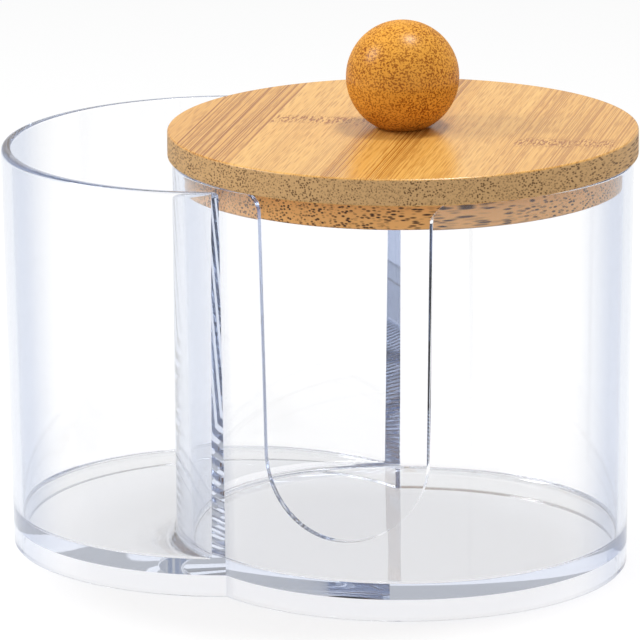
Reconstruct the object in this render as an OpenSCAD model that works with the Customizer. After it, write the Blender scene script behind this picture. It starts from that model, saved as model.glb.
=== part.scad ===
// Dual compartment cotton organizer, in millimetres.
// A clear moulded body holds a round jar for cotton pads and, beside it, an open crescent
// compartment that shares the jar's wall. A hand slot runs down the jar's front. The jar is
// closed by a bamboo lid of two glued plies, with a wooden ball knob that a screw holds.
// The origin lies on the table under the middle of the whole; +Z is up, the jar lies
// towards +X, the open compartment towards -X, and the front faces -Y.

/* [Body] */
// Outside diameter of the jar at its rim
jar_d = 102; // [92:1:120]
// Outside diameter of the open compartment at its rim
side_d = 101; // [84:1:112]
// Distance between the centres of the jar and the open compartment
spacing = 43.6; // [38:0.2:54]
// Height of the jar
body_h = 93; // [76:1:120]
// How much lower the open compartment's rim is than the jar's
rim_step = 1.6; // [1:0.1:5]
// Wall thickness at the rim
wall = 2.1; // [1.7:0.1:3.2]
// Draft of the outside walls, in degrees, narrower at the foot
draft = 0.8; // [0.3:0.1:1.2]
// Draft of the inside walls, in degrees, narrower at the floor
core_draft = 0.8; // [0.4:0.1:1.6]
// Draft of the shared wall's face in the open compartment, in degrees, wider at the floor
shared_draft = 0; // [0:0.1:0.6]
// Rounding of the rim's outer edge
rim_out = 0.9; // [0.4:0.1:1]
// Rounding of the rim's inner edge
rim_in = 0.4; // [0.2:0.1:0.7]

/* [Floor] */
// Height of the floor's upper face above the table
floor_z = 8.2; // [6.5:0.1:12]
// Thickness of the floor
floor_t = 3.5; // [2:0.1:5]
// Fillet where the floor meets the walls
floor_fillet = 0.8; // [0.5:0.1:3]
// Thickness of the skirt that the body stands on
skirt_wall = 2.1; // [1.6:0.1:3.2]
// Rounding of the foot's outer edge
foot_round = 0.6; // [0.3:0.1:1]

/* [Hand slot] */
// Width of the slot where its foot begins
slot_w = 36.5; // [24:0.5:42]
// Lean of the slot's sides, in degrees, wider at the rim
slot_lean = 1; // [0:0.1:2]
// Height of the slot's lowest point above the table
slot_low = 17.6; // [15:0.1:40]
// Turn of the slot from the front towards the jar's far side, in degrees
slot_turn = 9.7; // [0:0.1:24]
// Radius of the slot's two upper corners
slot_shoulder = 4.5; // [2:0.1:6]

/* [Lid] */
// How far the lid stands out past the jar's rim
lid_overhang = 1; // [0:0.1:3]
// Thickness of the upper bamboo ply
disc_t = 6; // [4:0.1:9]
// Thickness of the lower bamboo ply, which sits in the jar's mouth
plug_t = 6; // [4:0.1:9]
// Gap all round between the lower ply and the jar's wall
plug_gap = 0.4; // [0.3:0.05:1]
// Rounding of the bamboo edges
ply_round = 0.5; // [0.2:0.1:1]

/* [Knob] */
// Diameter of the ball
ball_d = 25; // [20:0.5:32]
// Diameter of the flat that the ball stands on
ball_flat_d = 10.5; // [9:0.5:14]

/* [Screw] */
// Diameter of the screw's shank
screw_d = 3.5; // [3:0.1:4.5]
// Diameter of the screw's countersunk head
screw_head_d = 7; // [6.4:0.1:8.6]
// Depth that the screw bites into the ball
screw_bite = 10; // [7:0.5:13]
// Gap all round between the screw and the wood
screw_gap = 0.05; // [0.02:0.01:0.15]

/* [Hidden] */
$fn = 96;
jar_r = jar_d / 2;
side_r = side_d / 2;
side_h = body_h - rim_step;
lid_r = jar_r + lid_overhang;
// The whole is centred between the open compartment's far side and the lid's edge
jar_x = (spacing + side_r - lid_r) / 2;
floor_low = floor_z - floor_t;
lid_top = body_h + disc_t;
plug_low = body_h - plug_t;
plug_r = core_radius(jar_r, body_h, plug_low) - plug_gap;
ball_r = ball_d / 2;
ball_z = lid_top + sqrt(ball_r * ball_r - ball_flat_d * ball_flat_d / 4);
head_h = (screw_head_d - screw_d) / 2;
head_sink = 0.3;
screw_low = plug_low + head_sink;
screw_tip = lid_top + screw_bite;
tip_h = screw_d * 1.4;
recess_w = screw_d * 0.26;
recess_l = screw_head_d * 0.58;
recess_h = head_h * 0.8;
pilot_spare = 0.5;
// How far a cutter runs past the face that it cuts
over = 2;
// How far a blend dips below the face that it meets, so that the two cross
dip = 0.1;

// Radius of an outside wall at height z, from its radius r at the rim's height h
function skin_radius(r, h, z) = r - (h - z) * tan(draft);

// Radius of an inside wall at height z, from the outside radius r at the rim's height h
function core_radius(r, h, z) = r - wall - (h - z) * tan(core_draft);

// Radius of the shared wall's outer face at height z, which ends on the jar's skin at the lower rim
function shared_radius(z) = skin_radius(jar_r, body_h, side_h) + (side_h - z) * tan(shared_draft);

// Half the slot's width at height z, above its half-round foot
function slot_half(z) = slot_w / 2 + (z - slot_low - slot_w / 2) * tan(slot_lean);

// Points of an arc from angle a to angle b
function arc(centre, r, a, b, steps = 6) =
    [for (i = [0:steps]) centre + r * [cos(a + (b - a) * i / steps), sin(a + (b - a) * i / steps)]];

// The outside of a cup with the height h as a full solid, with its foot and rim rounded
module cup_skin(r, h) {
    rotate_extrude()
        polygon(concat(
            [[0, 0]],
            arc([skin_radius(r, h, 0) - foot_round, foot_round], foot_round, -90, 0),
            arc([r - rim_out, h - rim_out], rim_out, 0, 90),
            [[0, h]]));
}

// The inside of a cup with the height h, with a filleted floor and a rounded mouth
module cup_core(r, h) {
    low_r = core_radius(r, h, floor_z);
    rotate_extrude()
        polygon(concat(
            [[0, floor_z]],
            arc([low_r - floor_fillet, floor_z + floor_fillet], floor_fillet, -90, 0),
            arc([r - wall + rim_in, h - rim_in], rim_in, 180, 90),
            [[r - wall + rim_in, h + over + rim_step], [0, h + over + rim_step]]));
}

// What the open compartment's core leaves standing: the shared wall, blended into the floor
module shared_stop() {
    low_r = shared_radius(floor_z);
    rotate_extrude()
        polygon(concat(
            [[0, floor_z - over], [low_r + floor_fillet, floor_z - over]],
            arc([low_r + floor_fillet, floor_z + floor_fillet - dip], floor_fillet, 258, 180),
            [[shared_radius(side_h), side_h], [jar_r + over, side_h],
             [jar_r + over, body_h + over], [0, body_h + over]]));
}

// The hollow under the floor, inside the skirt
module foot_hollow(r, h) {
    translate([0, 0, -over])
        cylinder(h = floor_low + over, r = skin_radius(r, h, 0) - skirt_wall);
}

// The slot's outline: sides that lean out, a half-round foot and two rounded shoulders
module slot_outline() {
    bend_z = slot_low + slot_w / 2;
    shoulder_z = body_h - slot_shoulder + dip;
    neck = slot_half(shoulder_z);
    translate([0, bend_z])
        circle(slot_w / 2);
    polygon([[-slot_w / 2, bend_z], [slot_w / 2, bend_z], [neck, shoulder_z], [-neck, shoulder_z]]);
    difference() {
        translate([-neck - slot_shoulder, shoulder_z])
            square([2 * (neck + slot_shoulder), slot_shoulder + over]);
        for (side = [-1, 1])
            translate([side * (neck + slot_shoulder), shoulder_z])
                circle(slot_shoulder);
    }
}

// The slot's cutter, from the jar's axis out through its front wall
module slot_cutter() {
    rotate([0, 0, slot_turn])
        rotate([90, 0, 0])
            linear_extrude(jar_r + over)
                slot_outline();
}

module organizer_body() {
    color([0.88, 0.91, 0.97, 0.35])
        translate([jar_x, 0, 0])
            difference() {
                union() {
                    cup_skin(jar_r, body_h);
                    translate([-spacing, 0, 0])
                        cup_skin(side_r, side_h);
                }
                cup_core(jar_r, body_h);
                difference() {
                    translate([-spacing, 0, 0])
                        cup_core(side_r, side_h);
                    shared_stop();
                }
                union() {
                    foot_hollow(jar_r, body_h);
                    translate([-spacing, 0, 0])
                        foot_hollow(side_r, side_h);
                }
                slot_cutter();
            }
}

// A round bamboo ply with both edges rounded
module ply(r, t) {
    rotate_extrude()
        polygon(concat(
            [[0, 0]],
            arc([r - ply_round, ply_round], ply_round, -90, 0, 4),
            arc([r - ply_round, t - ply_round], ply_round, 0, 90, 4),
            [[0, t]]));
}

module lid_disc() {
    color([0.90, 0.72, 0.48])
        translate([jar_x, 0, body_h])
            difference() {
                ply(lid_r, disc_t);
                translate([0, 0, -over])
                    cylinder(h = disc_t + 2 * over, r = screw_d / 2 + screw_gap);
            }
}

module lid_plug() {
    color([0.76, 0.54, 0.33])
        translate([jar_x, 0, plug_low])
            difference() {
                ply(plug_r, plug_t);
                translate([0, 0, -over])
                    cylinder(h = plug_t + 2 * over, r = screw_d / 2 + screw_gap);
                translate([0, 0, head_sink])
                    cylinder(h = head_h, r1 = screw_head_d / 2 + screw_gap, r2 = screw_d / 2 + screw_gap);
                translate([0, 0, -over])
                    cylinder(h = over + head_sink, r = screw_head_d / 2 + screw_gap);
            }
}

module ball_knob() {
    color([0.80, 0.52, 0.20])
        translate([jar_x, 0, 0])
            difference() {
                translate([0, 0, ball_z])
                    sphere(ball_r);
                translate([-ball_r, -ball_r, lid_top - ball_d])
                    cube([ball_d, ball_d, ball_d]);
                translate([0, 0, lid_top - over])
                    cylinder(h = screw_bite + pilot_spare + over, r = screw_d / 2 + screw_gap);
            }
}

module knob_screw() {
    color([0.72, 0.72, 0.70])
        translate([jar_x, 0, 0])
            difference() {
                rotate_extrude()
                    polygon([
                        [0, screw_low], [screw_head_d / 2, screw_low], [screw_d / 2, screw_low + head_h],
                        [screw_d / 2, screw_tip - tip_h], [0, screw_tip]]);
                for (turn = [0, 90])
                    rotate([0, 0, turn])
                        translate([-recess_l / 2, -recess_w / 2, screw_low - over])
                            cube([recess_l, recess_w, recess_h + over]);
            }
}

organizer_body();
lid_disc();
lid_plug();
ball_knob();
knob_screw();
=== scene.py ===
import math
import bpy
import numpy as np
from mathutils import Matrix, Vector


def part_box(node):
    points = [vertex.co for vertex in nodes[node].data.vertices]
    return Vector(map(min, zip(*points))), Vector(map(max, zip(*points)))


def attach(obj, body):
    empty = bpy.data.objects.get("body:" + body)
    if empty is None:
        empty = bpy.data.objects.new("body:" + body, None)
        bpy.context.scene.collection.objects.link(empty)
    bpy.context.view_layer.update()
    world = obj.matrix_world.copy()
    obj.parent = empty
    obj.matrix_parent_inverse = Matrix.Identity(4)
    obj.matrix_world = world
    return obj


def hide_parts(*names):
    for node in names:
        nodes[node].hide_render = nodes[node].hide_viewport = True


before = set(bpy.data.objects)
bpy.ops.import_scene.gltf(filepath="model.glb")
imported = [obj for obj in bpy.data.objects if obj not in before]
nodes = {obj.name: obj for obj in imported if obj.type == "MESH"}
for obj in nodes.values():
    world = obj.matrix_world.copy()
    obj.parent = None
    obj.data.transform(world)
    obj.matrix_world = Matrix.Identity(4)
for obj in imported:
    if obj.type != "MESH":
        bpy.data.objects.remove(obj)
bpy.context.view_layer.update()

mm = 0.001
print("frame loaded:", ", ".join(sorted(nodes)))


# Small helpers for colours, shader nodes and meshes

def toLinear(hexText):
    # each channel c of the sRGB hex value becomes c / 12.92 when small, otherwise ((c + 0.055) / 1.055) ^ 2.4
    c = np.array([int(hexText[i:i + 2], 16) for i in (1, 3, 5)]) / 255
    low = c / 12.92
    high = ((c + 0.055) / 1.055) ** 2.4
    return (*np.where(c <= 0.04045, low, high).tolist(), 1.0)


def addNode(tree, kind, links=None, **settings):
    # links fills the sockets, with a value or another node's output; settings are the node's own properties
    node = tree.nodes.new(kind)
    for name, value in settings.items():
        setattr(node, name, value)
    for name, value in (links or {}).items():
        if isinstance(value, bpy.types.NodeSocket):
            tree.links.new(value, node.inputs[name])
        else:
            node.inputs[name].default_value = value
    return node


def newMaterial(name):
    # an empty node tree and its output
    material = bpy.data.materials.new(name)
    material.use_nodes = True
    material.node_tree.nodes.clear()
    return material, material.node_tree, addNode(material.node_tree, "ShaderNodeOutputMaterial")


def newPiece(name, points, faces):
    mesh = bpy.data.meshes.new(name)
    mesh.from_pydata(points.tolist(), [], faces)
    mesh.validate()
    piece = bpy.data.objects.new(name, mesh)
    bpy.context.scene.collection.objects.link(piece)
    return piece


def applyModifiers(piece):
    bpy.context.view_layer.update()
    final = bpy.data.meshes.new_from_object(piece.evaluated_get(bpy.context.evaluated_depsgraph_get()))
    piece.modifiers.clear()
    old, piece.data = piece.data, final
    bpy.data.meshes.remove(old)


def shadeSmooth(piece, sharpAngle):
    # smooth all over, with hard edges where two faces meet at more than the angle
    mesh = piece.data
    mesh.polygons.foreach_set("use_smooth", np.ones(len(mesh.polygons), bool))
    mesh.set_sharp_from_angle(angle=math.radians(sharpAngle))


def useMaterial(piece, material):
    piece.data.materials.clear()
    piece.data.materials.append(material)


# The camera, from the photograph: a long lens, a little above the lid and turned towards the jar
camera = {
    "azimuth": 26.26,    # degrees, from the front towards the jar's far side
    "pitch": 14.24,      # degrees down
    "roll": -0.44,
    "distance": 1416.8,  # mm from the target
    "target": (4.36, -8.19, 55.15),
    "lens": 358.7,       # mm on a 36 mm sensor
}


def makeCamera():
    turn = (Matrix.Rotation(math.radians(camera["azimuth"]), 3, "Z")
            @ Matrix.Rotation(math.radians(90 - camera["pitch"]), 3, "X")
            @ Matrix.Rotation(math.radians(camera["roll"]), 3, "Z"))
    back = turn @ Vector((0, 0, camera["distance"] * mm))
    data = bpy.data.cameras.new("camera")
    data.lens = camera["lens"]
    data.sensor_width = 36
    data.clip_start = 0.05
    data.clip_end = 20
    holder = bpy.data.objects.new("camera", data)
    holder.matrix_world = Matrix.Translation(Vector(camera["target"]) * mm + back) @ turn.to_4x4()
    bpy.context.scene.collection.objects.link(holder)
    bpy.context.scene.camera = holder


makeCamera()
print("camera placed")


# The clear body: two drafted cups, their cores, the hollow foot and the hand slot
lidLow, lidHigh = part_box("lid_disc")
bodyLow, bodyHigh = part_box("organizer_body")
jarX = (lidLow.x + lidHigh.x) / 2

body = {
    "jarRadius": bodyHigh.y / mm,
    "height": bodyHigh.z / mm,
    "rimStep": 1.6,       # how much lower the open compartment's rim is, in mm as all of these
    "spacing": 43.6,      # from the jar's axis to the open compartment's
    "wall": 2.1,
    "draft": 0.8,         # degrees
    "coreDraft": 0.8,
    "rimOuter": 0.9,
    "rimInner": 0.4,
    "floorTop": 8.2,
    "floorThick": 3.5,
    "floorFillet": 0.8,
    "skirtWall": 2.1,
    "footRound": 0.6,
    "slotWidth": 36.5,
    "slotLean": 1.0,      # degrees
    "slotLow": 17.6,
    "slotTurn": 9.7,      # degrees
    "slotShoulder": 4.5,
    "segments": 480,      # round a whole turn
}
body["sideRadius"] = (jarX - bodyLow.x) / mm - body["spacing"]
body["sideHeight"] = body["height"] - body["rimStep"]


def arc(centre, radius, start, end, steps=8):
    # points of a circle's arc: centre + radius * (cos a, sin a), a going evenly from start to end in degrees
    a = np.radians(np.linspace(start, end, steps + 1))
    return np.column_stack([centre[0] + radius * np.cos(a), centre[1] + radius * np.sin(a)])


def turned(name, profile, centreX):
    # the profile (r, z) carried round an upright axis: x = centre + r cos t, y = r sin t; its two ends are the poles
    t = np.arange(body["segments"]) * 2 * np.pi / body["segments"]
    r, z = profile[1:-1, 0][:, None], profile[1:-1, 1][:, None]
    ring = np.stack([centreX + r * np.cos(t), r * np.sin(t), z + 0 * t], axis=-1)
    rows, count = ring.shape[:2]
    poles = np.array([[centreX, 0, profile[0, 1]], [centreX, 0, profile[-1, 1]]])
    index = np.arange(rows * count).reshape(rows, count)
    after = np.roll(index, -1, axis=1)
    sides = np.stack([index[:-1], after[:-1], after[1:], index[1:]], axis=-1).reshape(-1, 4)
    low = np.stack([after[0], index[0], np.full(count, rows * count)], axis=-1)
    high = np.stack([index[-1], after[-1], np.full(count, rows * count + 1)], axis=-1)
    points = np.vstack([ring.reshape(-1, 3), poles]) * mm
    return newPiece(name, points, sides.tolist() + low.tolist() + high.tolist())


def held(profile, longest=2.0, grip=0.15):
    # two more points just inside the ends of each long straight stretch, at a + (b - a) * grip / length and the same
    # from b: they keep the shading of a flat wall from being bent by the rounded edge next to it
    points = [profile[0]]
    for a, b in zip(profile[:-1], profile[1:]):
        length = float(np.hypot(*(b - a)))
        if length > longest:
            points += [a + (b - a) * grip / length, b - (b - a) * grip / length]
        points.append(b)
    return np.array(points)


def skinRadius(r, h, z):
    # radius of an outside wall at height z, from its radius r at the rim's height h
    return r - (h - z) * math.tan(math.radians(body["draft"]))


def coreRadius(r, h, z):
    return r - body["wall"] - (h - z) * math.tan(math.radians(body["coreDraft"]))


def cupSkin(name, r, h, centreX):
    # a full cup with a rounded foot and rim
    foot, rim = body["footRound"], body["rimOuter"]
    return turned(name, held(np.vstack([
        [0, 0],
        arc((skinRadius(r, h, 0) - foot, foot), foot, -90, 0),
        arc((r - rim, h - rim), rim, 0, 90),
        [0, h]])), centreX)


def cupCore(name, r, h, centreX, over=4):
    # the space inside a cup, with a filleted floor and a rounded mouth
    fillet, rim, z = body["floorFillet"], body["rimInner"], body["floorTop"]
    mouth = r - body["wall"] + rim
    return turned(name, held(np.vstack([
        [0, z],
        arc((coreRadius(r, h, z) - fillet, z + fillet), fillet, -90, 0),
        arc((mouth, h - rim), rim, 180, 90),
        [mouth, h + over],
        [0, h + over]])), centreX)


def sharedStop(name, centreX, over=4, dip=0.1):
    # what the open compartment's core leaves standing: the jar's wall, upright, blended into the floor
    fillet, z, side = body["floorFillet"], body["floorTop"], body["sideHeight"]
    r = skinRadius(body["jarRadius"], body["height"], side)
    return turned(name, held(np.vstack([
        [0, z - over],
        [r + fillet, z - over],
        arc((r + fillet, z + fillet - dip), fillet, 258, 180),
        [r, side],
        [r + over, side],
        [r + over, body["height"] + over],
        [0, body["height"] + over]])), centreX)


def footHollow(name, r, h, centreX, over=2):
    inner = skinRadius(r, h, 0) - body["skirtWall"]
    top = body["floorTop"] - body["floorThick"]
    return turned(name, np.array([[0, -over], [inner, -over], [inner, top], [0, top]]), centreX)


def slotCutter(name, centreX, over=2, dip=0.1):
    # the slot's outline (across, up) pushed from the axis out through the front wall, then turned a little
    half, low, h = body["slotWidth"] / 2, body["slotLow"], body["height"]
    shoulder = body["slotShoulder"]
    shoulderLow = h - shoulder + dip
    neck = half + (shoulderLow - low - half) * math.tan(math.radians(body["slotLean"]))
    foot = arc((0, low + half), half, 180, 360, 72)
    right = arc((neck + shoulder, shoulderLow), shoulder, 180, 90)
    left = right[::-1] * [-1, 1]
    top = h + over
    outline = held(np.vstack([foot, right, [[right[-1, 0], top], [left[0, 0], top]], left, foot[:1]]))[:-1]
    reach = body["jarRadius"] + over
    a = math.radians(body["slotTurn"])
    across, up = outline[:, 0], outline[:, 1]
    ends = [np.column_stack([centreX + across * math.cos(a) + y * math.sin(a),
                             across * math.sin(a) - y * math.cos(a), up]) for y in (0, reach)]
    n = len(outline)
    i = np.arange(n)
    j = np.roll(i, -1)
    sides = np.stack([i, j, j + n, i + n], axis=-1).tolist()
    faces = sides + [i[::-1].tolist(), (i + n).tolist()]
    return newPiece(name, np.vstack(ends) * mm, faces)


def combine(target, tool, operation):
    # one exact boolean, made final in the target's mesh
    step = target.modifiers.new("step", "BOOLEAN")
    step.operation = operation
    step.object = tool
    step.solver = "MANIFOLD"
    applyModifiers(target)
    bpy.data.objects.remove(tool)
    return target


def makeBody():
    axis, sideAxis = jarX / mm, jarX / mm - body["spacing"]
    jar = (body["jarRadius"], body["height"], axis)
    side = (body["sideRadius"], body["sideHeight"], sideAxis)
    shell = combine(cupSkin("clear_body", *jar), cupSkin("side_skin", *side), "UNION")
    combine(shell, cupCore("jar_core", *jar), "DIFFERENCE")
    sideCore = combine(cupCore("side_core", *side), sharedStop("stop", axis), "DIFFERENCE")
    combine(shell, sideCore, "DIFFERENCE")
    hollow = combine(footHollow("foot", *jar), footHollow("side_foot", *side), "UNION")
    combine(shell, hollow, "DIFFERENCE")
    combine(shell, slotCutter("slot", axis), "DIFFERENCE")
    shell.data.name = "clear_body"
    shadeSmooth(shell, 28)
    return shell


clearBody = makeBody()
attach(clearBody, "body")
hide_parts("organizer_body")
print("clear body made:", len(clearBody.data.polygons), "faces")


# Clear polystyrene, injection moulded: glassy and polished, blue grey where it is looked through lengthwise. At the
# slanted edges of its walls a painted reflection, blue grey laid on by the slant of view, stands in for the darker
# room that the real one mirrors
plastic = {
    "ior": 1.56,
    "roughness": 0.0,
    "depthColour": "#BCCBE6",
    "depthDensity": 6.0,    # per metre
    "paintedEdgeReflection": "#CBD3E4",  # painted reflection of a darker room, where an upright wall is seen at a slant
    "edgeSlant": (0.35, 0.7),   # Layer Weight's facing over which the painted reflection comes in
    "shadowTint": "#FBFCFF",
    "ripple": 24,           # mm from crest to crest of the mould's faint waviness
    "rippleHeight": 0.004,  # mm
}


def clearPolystyrene():
    material, tree, output = newMaterial("clear_polystyrene")
    place = addNode(tree, "ShaderNodeTexCoord")
    wave = addNode(tree, "ShaderNodeTexNoise", {
        "Vector": place.outputs["Object"], "Scale": 1 / (plastic["ripple"] * mm), "Detail": 1.0})
    bump = addNode(tree, "ShaderNodeBump", {
        "Height": wave.outputs["Fac"], "Distance": plastic["rippleHeight"] * mm, "Strength": 1.0})
    slant = addNode(tree, "ShaderNodeLayerWeight", {"Blend": 0.5})
    edge = addNode(tree, "ShaderNodeMapRange", {
        "Value": slant.outputs["Facing"], "From Min": plastic["edgeSlant"][0],
        "From Max": plastic["edgeSlant"][1]}, interpolation_type="SMOOTHSTEP")
    # the painted reflection goes only on the upright walls: the level floor, always seen at a slant, stays clear
    facing = addNode(tree, "ShaderNodeSeparateXYZ", {0: place.outputs["Normal"]})
    level = addNode(tree, "ShaderNodeMath", {0: facing.outputs["Z"]}, operation="ABSOLUTE")
    upright = addNode(tree, "ShaderNodeMapRange", {
        "Value": level.outputs[0], "From Min": 0.2, "From Max": 0.6, "To Min": 1.0, "To Max": 0.0})
    share = addNode(tree, "ShaderNodeMath", {0: edge.outputs[0], 1: upright.outputs[0]}, operation="MULTIPLY")
    # painted reflection: the glass's base colour turns blue grey with the slant of view, in place of a darker room
    # mirrored in the walls
    paintedEdge = addNode(tree, "ShaderNodeMix", {
        "Factor": share.outputs[0], "A": (1, 1, 1, 1), "B": toLinear(plastic["paintedEdgeReflection"])}, data_type="RGBA")
    glass = addNode(tree, "ShaderNodeBsdfPrincipled", {
        "Base Color": paintedEdge.outputs["Result"], "Transmission Weight": 1.0, "IOR": plastic["ior"],
        "Roughness": plastic["roughness"], "Normal": bump.outputs["Normal"]})
    clear = addNode(tree, "ShaderNodeBsdfTransparent", {"Color": toLinear(plastic["shadowTint"])})
    path = addNode(tree, "ShaderNodeLightPath")
    unseen = addNode(tree, "ShaderNodeMath", {
        0: path.outputs["Is Shadow Ray"], 1: path.outputs["Is Diffuse Ray"]}, operation="MAXIMUM")
    mix = addNode(tree, "ShaderNodeMixShader", {0: unseen.outputs[0], 1: glass.outputs[0], 2: clear.outputs[0]})
    depth = addNode(tree, "ShaderNodeVolumeAbsorption", {
        "Color": toLinear(plastic["depthColour"]), "Density": plastic["depthDensity"]})
    tree.links.new(mix.outputs[0], output.inputs["Surface"])
    tree.links.new(depth.outputs[0], output.inputs["Volume"])
    return material


useMaterial(clearBody, clearPolystyrene())

# Bamboo, laminated from strips, sanded and sealed: honey, with dark vascular bundles along the grain, which show as
# lines and dashes on a face and as dots where they are cut across, and a wavy band where a strip has a node
discBamboo = {
    "grain": 104.5,          # degrees from +X, from above
    "span": 120,             # mm across the grain that the table of strips covers
    # the strips, from the right: where each begins (mm, leftwards), how deep its tone is and how strong its lines
    "strips": ((-60, 0.4, 0.65), (-25, 0.15, 0.35), (-10, 0.5, 0.9), (8, 0.15, 0.45), (30, 0.6, 1.0)),
    "pale": "#E9B766",
    "deep": "#D49B4A",
    "bundle": "#9A5E1C",
    "endGrain": "#CEA46E",
    "endBundle": "#6A4A24",
    "bundleGap": 0.45,       # mm
    "bundleLength": 8,
    "dashes": 0.5,
    "lineGap": 0.62,         # mm
    "nodes": ((-19, 4), (38, -10)),   # where the strips have nodes: to the right, and along the grain
    "gloss": 0.24,
}
plugBamboo = dict(
    discBamboo, grain=43.0, strips=((-60, 0.5, 0.5), (-21, 0.3, 0.6), (-2, 0.6, 0.5), (17, 0.4, 0.7)),
    pale="#DBA264", deep="#C2844A", bundle="#5A3210", endGrain="#EBAE68", endBundle="#3E210A", bundleGap=0.5,
    bundleLength=5, dashes=1.0, nodes=((20, -12),), gloss=0.45)


def laminatedBamboo(name, wood, centre):
    material, tree, output = newMaterial(name)

    def maths(operation, a, b=0.0, c=0.0):
        return addNode(tree, "ShaderNodeMath", {0: a, 1: b, 2: c}, operation=operation).outputs[0]

    def ramp(value, low, high, start=0.0, end=1.0):
        return addNode(tree, "ShaderNodeMapRange", {
            "Value": value, "From Min": low, "From Max": high, "To Min": start, "To Max": end},
            interpolation_type="SMOOTHSTEP").outputs[0]

    def stretched(place, along, across):
        # the place divided by a length along the grain and a width across it, in mm
        return addNode(tree, "ShaderNodeVectorMath", {
            0: place, 1: (1 / along, 1 / across, 1 / across)}, operation="MULTIPLY").outputs[0]

    def noise(place, along, across, detail):
        return addNode(tree, "ShaderNodeTexNoise", {
            "Vector": stretched(place, along, across), "Scale": 1.0, "Detail": detail}).outputs["Fac"]

    def mixed(factor, a, b):
        return addNode(tree, "ShaderNodeMix", {"Factor": factor, "A": a, "B": b}, data_type="RGBA").outputs["Result"]

    place = addNode(tree, "ShaderNodeTexCoord")
    # in millimetres about the centre: x along the grain, y across it
    local = addNode(tree, "ShaderNodeMapping", {
        "Vector": place.outputs["Object"], "Location": centre,
        "Rotation": (0, 0, math.radians(wood["grain"])), "Scale": (mm, mm, mm)}, vector_type="TEXTURE").outputs[0]
    axes = addNode(tree, "ShaderNodeSeparateXYZ", {0: local})
    # the strips: tone, lines and a number of its own for each
    strips = addNode(tree, "ShaderNodeValToRGB", {
        "Fac": maths("MULTIPLY_ADD", axes.outputs["Y"], 1 / wood["span"], 0.5)})
    table = strips.color_ramp
    table.interpolation = "CONSTANT"
    table.elements.remove(table.elements[1])
    for i, (start, depth, lines) in enumerate(wood["strips"]):
        strip = table.elements.new(start / wood["span"] + 0.5) if i else table.elements[0]
        strip.color = (depth, lines, (i + 1) / 8, 1)
    strip = addNode(tree, "ShaderNodeSeparateColor", {0: strips.outputs["Color"]})
    shift = addNode(tree, "ShaderNodeVectorMath", {
        0: strips.outputs["Color"], 1: (170, 370, 290)}, operation="MULTIPLY")
    own = addNode(tree, "ShaderNodeVectorMath", {0: local, 1: shift.outputs[0]}, operation="ADD").outputs[0]
    # the end grain is where the face looks along the grain
    facing = addNode(tree, "ShaderNodeSeparateXYZ", {0: place.outputs["Normal"]})
    rim = ramp(maths("ABSOLUTE", facing.outputs["Z"]), 0.2, 0.75, 1.0, 0.0)
    # the bundles: long cells, dark in their middles, some darker than others
    cell = addNode(tree, "ShaderNodeTexVoronoi", {
        "Vector": stretched(own, wood["bundleLength"], wood["bundleGap"]), "Scale": 1.0, "Randomness": 1.0})
    chance = addNode(tree, "ShaderNodeSeparateColor", {0: cell.outputs["Color"]})
    dots = maths("MULTIPLY", ramp(cell.outputs["Distance"], 0.25, 0.6, 1.0, 0.0),
                 ramp(chance.outputs[0], 0.0, 0.8, 0.25, 1.0))
    dots = maths("MULTIPLY", dots, ramp(rim, 0.0, 1.0, wood["dashes"], 1.0))
    # the lines: as long as the strip, and crowded here and there
    crowd = noise(own, 200, 6, 1.0)
    line = maths("ADD", noise(own, 260, wood["lineGap"] / 2, 2.0), maths("MULTIPLY", crowd, 0.35))
    line = maths("MULTIPLY", ramp(line, 0.68, 0.82), strip.outputs[1])
    # the nodes: a wavy band across one strip, of many short dark chips
    wave = noise(own, 300, 3.5, 1.0)
    band = 0.0
    for across, along in wood["nodes"]:
        far = maths("ABSOLUTE", maths("ADD", axes.outputs["Y"], across))
        wavy = maths("MULTIPLY_ADD", wave, 7.0, -3.5 - along)
        near = maths("ABSOLUTE", maths("ADD", axes.outputs["X"], wavy))
        one = maths("MULTIPLY", ramp(far, 10.5, 11.5, 1.0, 0.0), ramp(near, 1.5, 6.5, 1.0, 0.0))
        band = maths("MAXIMUM", one, band)
    dash = maths("MULTIPLY", band, ramp(noise(own, 2.2, 0.45, 1.0), 0.46, 0.6))
    top = maths("SUBTRACT", 1.0, rim)
    marks = maths("MULTIPLY", maths("MAXIMUM", line, dash), top)
    dark = maths("MAXIMUM", dots, marks)
    # the ground: fine fibres and slow changes of tone
    tone = maths("MULTIPLY_ADD", ramp(noise(own, 60, 0.4, 2.0), 0.3, 0.7), 0.5, -0.2)
    tone = maths("ADD", tone, strip.outputs[0])
    tone = maths("MULTIPLY_ADD", noise(own, 40, 9, 1.0), 0.3, tone)
    ground = mixed(rim, mixed(tone, toLinear(wood["pale"]), toLinear(wood["deep"])), toLinear(wood["endGrain"]))
    ink = mixed(rim, toLinear(wood["bundle"]), toLinear(wood["endBundle"]))
    colour = mixed(dark, ground, ink)
    bump = addNode(tree, "ShaderNodeBump", {"Height": dark, "Distance": 0.02 * mm, "Strength": 1.0}, invert=True)
    shader = addNode(tree, "ShaderNodeBsdfPrincipled", {
        "Base Color": colour, "Roughness": ramp(rim, 0.0, 1.0, wood["gloss"], 0.6), "IOR": 1.44,
        "Normal": bump.outputs["Normal"]})
    tree.links.new(shader.outputs[0], output.inputs["Surface"])
    return material


centre = (jarX, 0, lidLow.z)
useMaterial(nodes["lid_disc"], laminatedBamboo("bamboo_disc", discBamboo, centre))
useMaterial(nodes["lid_plug"], laminatedBamboo("bamboo_plug", plugBamboo, centre))

# Beech ball, turned and varnished: warm orange brown, thick with short darker flecks, under a soft gloss
ball = {
    "colour": "#D68F2A",
    "light": "#E8AA4A",
    "fleck": "#8A4A06",
    "fleckSize": 0.45,  # mm, a little coarser than the real ones, so that they show
    "coat": 0.4,
    "coatRoughness": 0.3,
}


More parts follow.
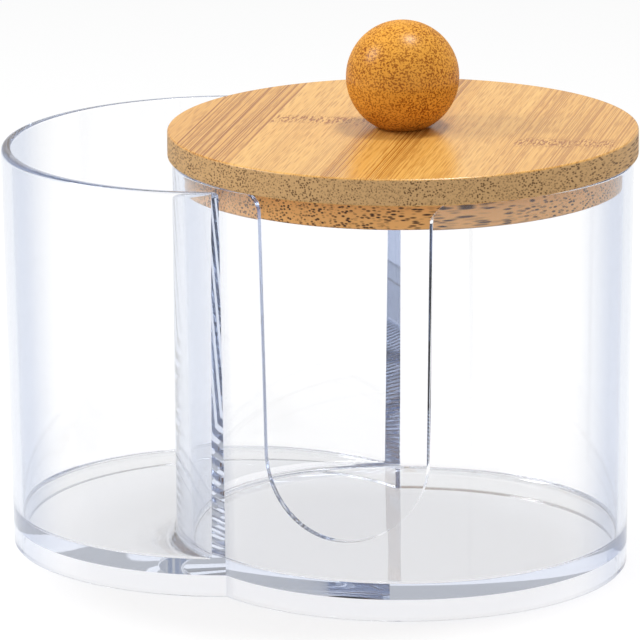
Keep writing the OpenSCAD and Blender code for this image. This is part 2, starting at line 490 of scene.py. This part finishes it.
def varnishedBeech():
    material, tree, output = newMaterial("varnished_beech")
    place = addNode(tree, "ShaderNodeTexCoord")
    local = addNode(tree, "ShaderNodeMapping", {
        "Vector": place.outputs["Object"], "Location": centre, "Scale": (mm, mm, mm)}, vector_type="TEXTURE")
    flecks = addNode(tree, "ShaderNodeTexNoise", {
        "Vector": local.outputs[0], "Scale": 1 / ball["fleckSize"], "Detail": 2.0, "Roughness": 0.6})
    spot = addNode(tree, "ShaderNodeMapRange", {
        "Value": flecks.outputs["Fac"], "From Min": 0.46, "From Max": 0.58}, interpolation_type="SMOOTHSTEP")
    slow = addNode(tree, "ShaderNodeTexNoise", {"Vector": local.outputs[0], "Scale": 0.12, "Detail": 2.0})
    ground = addNode(tree, "ShaderNodeMix", {
        "Factor": slow.outputs["Fac"], "A": toLinear(ball["colour"]), "B": toLinear(ball["light"])},
        data_type="RGBA")
    fade = addNode(tree, "ShaderNodeMapRange", {
        "Value": slow.outputs["Fac"], "From Min": 0.3, "From Max": 0.7, "To Min": 1.0, "To Max": 0.6})
    strength = addNode(tree, "ShaderNodeMath", {0: spot.outputs[0], 1: fade.outputs[0]}, operation="MULTIPLY")
    colour = addNode(tree, "ShaderNodeMix", {
        "Factor": strength.outputs[0], "A": ground.outputs["Result"], "B": toLinear(ball["fleck"])},
        data_type="RGBA")
    shader = addNode(tree, "ShaderNodeBsdfPrincipled", {
        "Base Color": colour.outputs["Result"], "Roughness": 0.6, "Specular IOR Level": 0.0,
        "Coat Weight": ball["coat"], "Coat Roughness": ball["coatRoughness"], "Coat IOR": 1.5})
    tree.links.new(shader.outputs[0], output.inputs["Surface"])
    return material


useMaterial(nodes["ball_knob"], varnishedBeech())

# Zinc plated steel, turned: bright grey with fine rings from the cutter
screw = {"colour": "#B9BBB8", "ring": 0.35}


def zincSteel():
    material, tree, output = newMaterial("zinc_plated_steel")
    place = addNode(tree, "ShaderNodeTexCoord")
    local = addNode(tree, "ShaderNodeMapping", {
        "Vector": place.outputs["Object"], "Location": centre, "Scale": (mm, mm, mm)}, vector_type="TEXTURE")
    rings = addNode(tree, "ShaderNodeTexWave", {
        "Vector": local.outputs[0], "Scale": 1 / screw["ring"], "Distortion": 0.6, "Detail": 1.0},
        wave_type="RINGS", rings_direction="Z")
    roughness = addNode(tree, "ShaderNodeMapRange", {
        "Value": rings.outputs["Fac"], "To Min": 0.24, "To Max": 0.42})
    shader = addNode(tree, "ShaderNodeBsdfPrincipled", {
        "Base Color": toLinear(screw["colour"]), "Metallic": 1.0, "Roughness": roughness.outputs[0]})
    tree.links.new(shader.outputs[0], output.inputs["Surface"])
    return material


useMaterial(nodes["knob_screw"], zincSteel())
print("materials made")


# The floor, the world and the lamps: a white studio with soft light
studio = {
    "floorSize": 3.0,        # metres
    "floorDrop": 0.2,        # mm under the foot, so that the two faces don't fight
    "floorColour": "#A0A0A0",
    "floorGlow": 0.6,
    "floorAsLight": 0.45,    # share of the glow that lights the object
    "around": 0.78,          # brightness of the surroundings as a light
    "mirrored": 0.6,         # and in reflections
    "ceiling": 0.72,         # brightness of what lies above, in reflections and through the plastic
    "ceilingFrom": (27, 46), # degrees of elevation over which it falls to that
    "topLampPlace": (0.12, 0.10, 0.78),
    "topLampSize": 0.15,
    "topLampPower": 2.4,     # watts
    "sideLampPlace": (-0.62, -0.32, 0.66),
    "sideLampSize": 0.34,
    "sideLampPower": 3.2,
}


def makeFloor():
    half = studio["floorSize"] / 2
    low = -studio["floorDrop"] * mm
    points = np.array([[-half, -half, low], [half, -half, low], [half, half, low], [-half, half, low]])
    floor = newPiece("floor", points, [(0, 1, 2, 3)])
    material, tree, output = newMaterial("white_sweep")
    path = addNode(tree, "ShaderNodeLightPath")
    seen = addNode(tree, "ShaderNodeMath", {
        0: path.outputs["Is Camera Ray"], 1: path.outputs["Is Glossy Ray"]}, operation="MAXIMUM")
    through = addNode(tree, "ShaderNodeMath", {
        0: seen.outputs[0], 1: path.outputs["Is Transmission Ray"]}, operation="MAXIMUM")
    # whole where it is seen, and less as a light on the object
    part = addNode(tree, "ShaderNodeMath", {
        0: through.outputs[0], 1: studio["floorAsLight"]}, operation="MAXIMUM")
    glow = addNode(tree, "ShaderNodeMath", {0: part.outputs[0], 1: studio["floorGlow"]}, operation="MULTIPLY")
    matt = addNode(tree, "ShaderNodeBsdfDiffuse", {"Color": toLinear(studio["floorColour"])})
    light = addNode(tree, "ShaderNodeEmission", {"Strength": glow.outputs[0]})
    both = addNode(tree, "ShaderNodeAddShader", {0: matt.outputs[0], 1: light.outputs[0]})
    tree.links.new(both.outputs[0], output.inputs["Surface"])
    useMaterial(floor, material)


def makeWorld():
    world = bpy.data.worlds.new("studio")
    bpy.context.scene.world = world
    world.use_nodes = True
    tree = world.node_tree
    tree.nodes.clear()
    path = addNode(tree, "ShaderNodeLightPath")
    seen = addNode(tree, "ShaderNodeMath", {
        0: path.outputs["Is Camera Ray"], 1: path.outputs["Is Glossy Ray"]}, operation="MAXIMUM")
    through = addNode(tree, "ShaderNodeMath", {
        0: seen.outputs[0], 1: path.outputs["Is Transmission Ray"]}, operation="MAXIMUM")
    # a white sweep all round, and a darker room above it, which gives the clear walls their grey edges
    direction = addNode(tree, "ShaderNodeTexCoord")
    height = addNode(tree, "ShaderNodeSeparateXYZ", {0: direction.outputs["Generated"]})
    low, high = (math.sin(math.radians(angle)) for angle in studio["ceilingFrom"])
    sweep = addNode(tree, "ShaderNodeMapRange", {
        "Value": height.outputs["Z"], "From Min": low, "From Max": high,
        "To Min": 1.0, "To Max": studio["ceiling"]}, interpolation_type="SMOOTHSTEP")
    # whole for the camera and through the plastic, less in reflections, and even as a light
    dimmer = addNode(tree, "ShaderNodeMapRange", {
        "Value": path.outputs["Is Glossy Ray"], "To Min": 1.0, "To Max": studio["mirrored"]})
    room = addNode(tree, "ShaderNodeMath", {0: sweep.outputs[0], 1: dimmer.outputs[0]}, operation="MULTIPLY")
    seenRoom = addNode(tree, "ShaderNodeMath", {
        0: path.outputs["Is Camera Ray"], 1: room.outputs[0]}, operation="MAXIMUM")
    strength = addNode(tree, "ShaderNodeMix", {
        "Factor": through.outputs[0], "A": studio["around"], "B": seenRoom.outputs[0]}, data_type="FLOAT")
    light = addNode(tree, "ShaderNodeBackground", {"Color": (1, 1, 1, 1), "Strength": strength.outputs["Result"]})
    output = addNode(tree, "ShaderNodeOutputWorld")
    tree.links.new(light.outputs[0], output.inputs["Surface"])


def makeSoftLamp(name, place, size, power):
    # a round lamp that looks at the middle of the lid
    data = bpy.data.lights.new(name, "AREA")
    data.shape = "DISK"
    data.size = size
    data.energy = power
    lamp = bpy.data.objects.new(name, data)
    aim = Vector((jarX, 0, lidHigh.z)) - Vector(place)
    lamp.matrix_world = Matrix.Translation(place) @ aim.to_track_quat("-Z", "Y").to_matrix().to_4x4()
    bpy.context.scene.collection.objects.link(lamp)


makeFloor()
makeWorld()
makeSoftLamp("top_lamp", studio["topLampPlace"], studio["topLampSize"], studio["topLampPower"])
makeSoftLamp("side_lamp", studio["sideLampPlace"], studio["sideLampSize"], studio["sideLampPower"])

scene = bpy.context.scene
scene.view_settings.view_transform = "Standard"
scene.cycles.max_bounces = 96               # light runs far along the clear walls
scene.cycles.transmission_bounces = 96
scene.cycles.glossy_bounces = 96
scene.cycles.transparent_max_bounces = 64
print("studio made")
